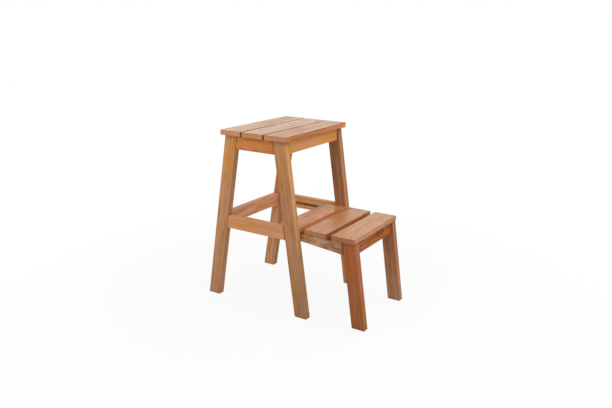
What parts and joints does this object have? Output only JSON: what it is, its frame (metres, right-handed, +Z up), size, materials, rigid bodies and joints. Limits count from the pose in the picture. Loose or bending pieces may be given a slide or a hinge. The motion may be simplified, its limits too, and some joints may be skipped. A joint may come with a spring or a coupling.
{
  "type": "two-step stool chair",
  "caption": "Wooden step stool with a slatted seat and a lower slatted step that slides out of the splayed frame on grooved stretchers, to climb on or sit on.",
  "frame": {"origin": "on the floor, at the middle of the box round the stool with its step pulled out", "axes": "+Z up, -Y is the front where the step comes out, X runs along the width of the seat"},
  "size_m": [0.324, 0.5088, 0.5],
  "materials": {
    "slat_wood": "oiled, planed smooth, long edges rounded",
    "frame_wood": "oiled, planed smooth",
    "step_wood": "oiled, planed smooth, redder timber",
    "runner_wood": "planed smooth, waxed",
    "dowel_wood": "plain turned, glued in",
    "screw_steel": "zinc plated"
  },
  "bodies": {
    "frame": {"leg_front_left": "frame_wood", "leg_front_right": "frame_wood", "leg_back_left": "frame_wood", "leg_back_right": "frame_wood", "apron_left": "frame_wood", "apron_right": "frame_wood", "apron_front": "frame_wood", "apron_back": "frame_wood", "stretcher_left": "frame_wood", "stretcher_right": "frame_wood", "stretcher_back": "frame_wood", "seat_slat_front": "slat_wood", "seat_slat_middle": "slat_wood", "seat_slat_back": "slat_wood", "dowels_seat_slats": "dowel_wood", "dowels_aprons": "dowel_wood", "dowels_stretchers": "dowel_wood"},
    "step": {"step_leg_left": "step_wood", "step_leg_right": "step_wood", "step_rail_left": "step_wood", "step_rail_right": "step_wood", "step_apron": "step_wood", "step_slat_outer": "slat_wood", "step_slat_middle": "slat_wood", "step_slat_inner": "slat_wood", "step_runner_left": "runner_wood", "step_runner_right": "runner_wood", "dowels_step_slats": "dowel_wood", "dowels_step_frame": "dowel_wood", "screws_step_runners": "screw_steel"}
  },
  "joints": [
    {"name": "step_slide", "type": "slide", "parent": "frame", "child": "step", "axis": [0, 1, 0], "range_m": [0, 0.1619]}
  ]
}
